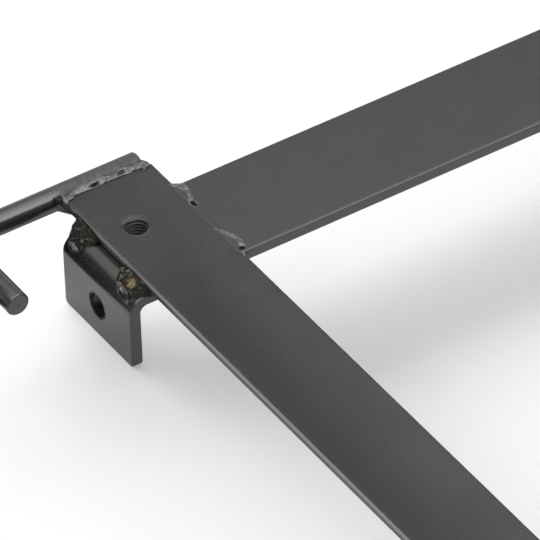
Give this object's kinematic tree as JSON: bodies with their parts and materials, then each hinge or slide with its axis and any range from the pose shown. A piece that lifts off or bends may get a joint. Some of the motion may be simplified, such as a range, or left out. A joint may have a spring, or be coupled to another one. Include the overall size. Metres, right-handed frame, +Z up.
{
  "type": "seat console",
  "caption": "Welded flat-steel floor frame for a vehicle seat, with threaded seat holes, bent side tabs with bolt holes and round hook rods at the rear.",
  "frame": {"origin": "on the floor, below the middle of the whole console", "axes": "+X to the right across the rails, +Y to the rear where the hooks are, +Z up"},
  "size_m": [0.505, 0.4102, 0.0416],
  "materials": {
    "rail_paint": "semi-gloss",
    "crossbar_paint": "semi-gloss",
    "rod_paint": "semi-gloss",
    "tab_paint": "semi-gloss",
    "weld_paint": "semi-gloss"
  },
  "bodies": {
    "root": {"rail_left": "rail_paint", "rail_right": "rail_paint", "crossbar_rear": "crossbar_paint", "crossbar_front": "crossbar_paint", "hook_rod_left": "rod_paint", "hook_rod_right": "rod_paint", "tab_rear_left": "tab_paint", "tab_rear_right": "tab_paint", "tab_front_left": "tab_paint", "tab_front_right": "tab_paint", "rod_weld_left_top": "weld_paint", "rod_weld_left_under": "weld_paint", "rod_weld_left_side": "weld_paint", "rod_weld_right_top": "weld_paint", "rod_weld_right_under": "weld_paint", "rod_weld_right_side": "weld_paint", "seam_weld_rear_left_outer": "weld_paint", "seam_weld_rear_left_inner": "weld_paint", "seam_weld_rear_left_under": "weld_paint", "tab_weld_rear_left_outer": "weld_paint", "tab_weld_rear_left_inner": "weld_paint", "flange_weld_rear_left": "weld_paint", "seam_weld_rear_right_outer": "weld_paint", "seam_weld_rear_right_inner": "weld_paint", "seam_weld_rear_right_under": "weld_paint", "tab_weld_rear_right_outer": "weld_paint", "tab_weld_rear_right_inner": "weld_paint", "flange_weld_rear_right": "weld_paint", "seam_weld_front_left_outer": "weld_paint", "seam_weld_front_left_inner": "weld_paint", "seam_weld_front_left_under": "weld_paint", "tab_weld_front_left_outer": "weld_paint", "tab_weld_front_left_inner": "weld_paint", "flange_weld_front_left": "weld_paint", "seam_weld_front_right_outer": "weld_paint", "seam_weld_front_right_inner": "weld_paint", "seam_weld_front_right_under": "weld_paint", "tab_weld_front_right_outer": "weld_paint", "tab_weld_front_right_inner": "weld_paint", "flange_weld_front_right": "weld_paint"}
  },
  "joints": []
}
